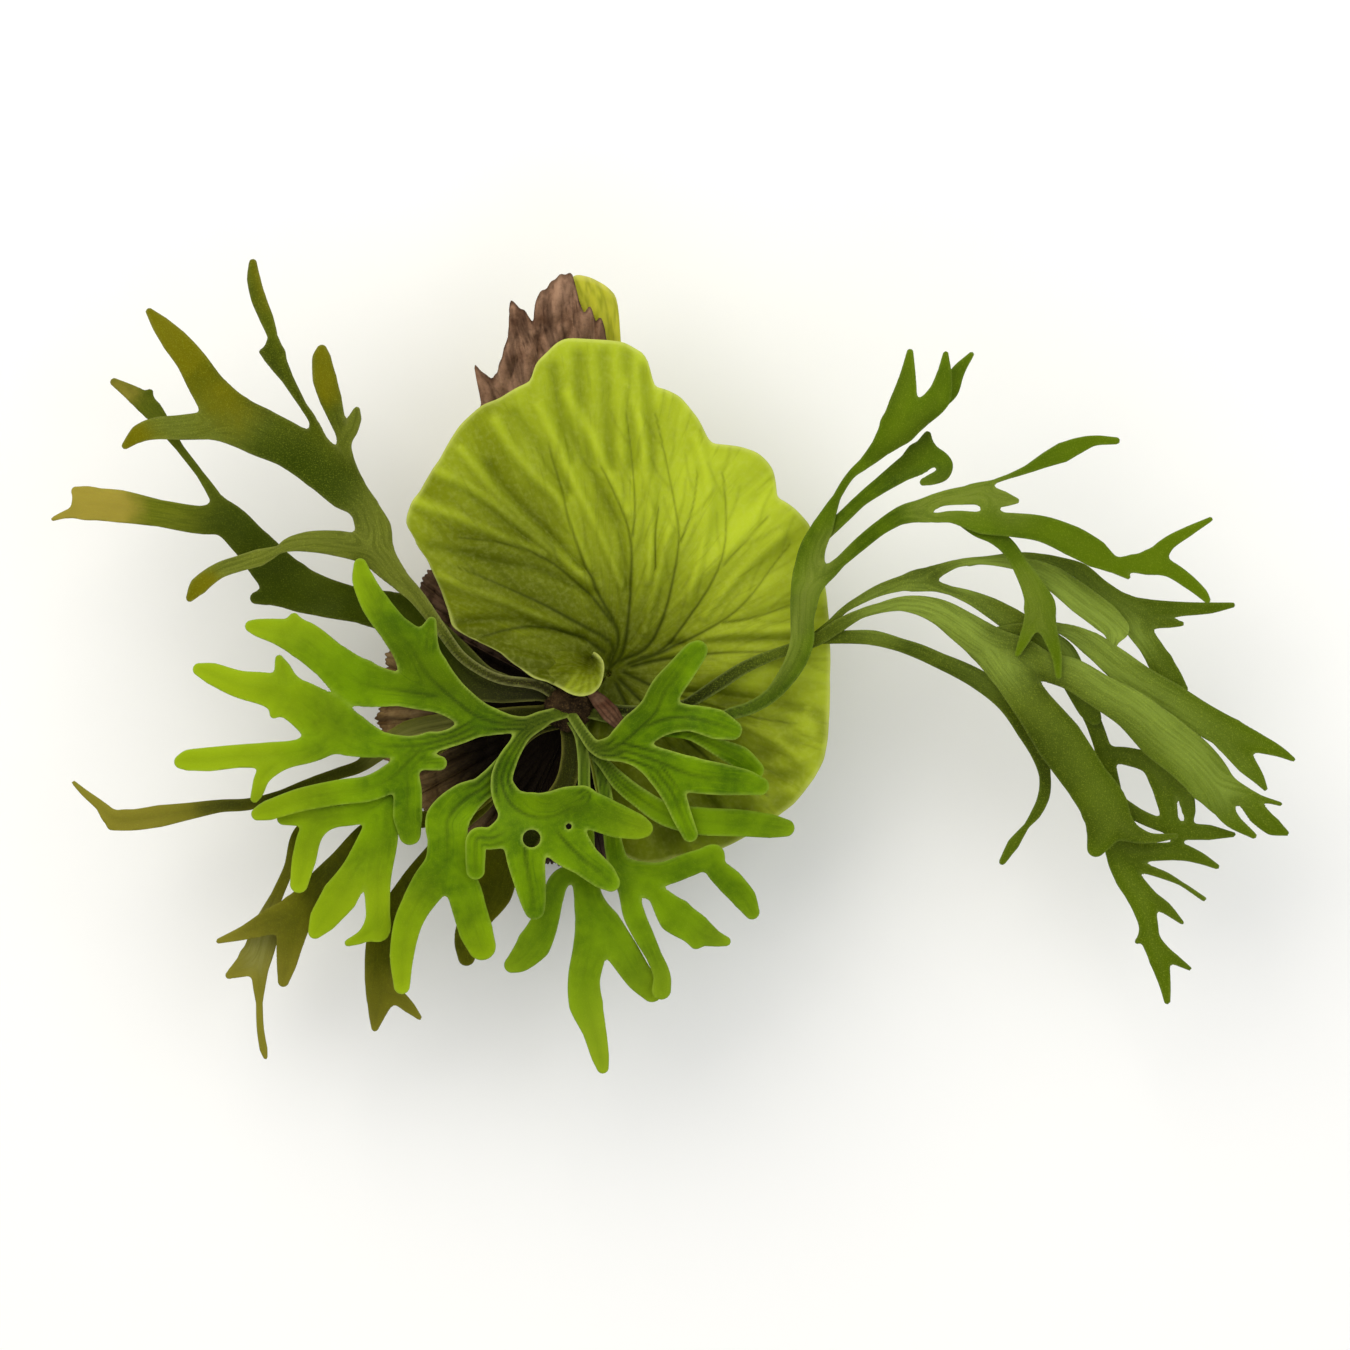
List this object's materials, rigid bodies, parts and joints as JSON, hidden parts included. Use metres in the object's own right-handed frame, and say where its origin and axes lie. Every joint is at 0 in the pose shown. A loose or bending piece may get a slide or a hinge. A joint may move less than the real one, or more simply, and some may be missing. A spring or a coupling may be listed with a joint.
{
  "type": "staghorn fern plant",
  "caption": "Bare-rooted staghorn fern: round shield leaves over a root ball, with antler-forked fronds spreading and arching from its crown.",
  "frame": {"origin": "on the flat back of the root ball, just beside the crown's axis", "axes": "+Z out of the root ball's back through the crown, the way the plant faces; +Y along the tall shield leaves; +X to the side of the long arching fronds"},
  "size_m": [0.6218, 0.4069, 0.1518],
  "materials": {
    "leaf_bright": "satin",
    "leaf_green": "satin",
    "leaf_dark": "satin",
    "leaf_olive": "satin",
    "shield_lime": "satin",
    "shield_yellow": "satin",
    "shield_brown": "matte",
    "crown_fuzz": "matte",
    "root_moss": "matte"
  },
  "bodies": {
    "root": {"root_ball": "root_moss", "crown": "crown_fuzz", "brown_low_shield": "shield_brown", "brown_left_shield": "shield_brown", "brown_top_shield": "shield_brown", "back_shield": "shield_yellow", "main_shield": "shield_lime", "front_frond": "leaf_bright", "right_bright_frond": "leaf_bright", "upper_left_frond": "leaf_green", "dark_left_frond": "leaf_dark", "lower_centre_frond": "leaf_green", "lower_right_frond": "leaf_green", "right_low_frond": "leaf_green", "tall_right_frond": "leaf_green", "arching_frond": "leaf_dark", "old_side_frond": "leaf_olive", "old_low_frond": "leaf_olive", "old_trailing_frond": "leaf_olive", "old_forked_frond": "leaf_olive", "old_blunt_frond": "leaf_olive", "dry_scale": "shield_brown"}
  },
  "joints": []
}
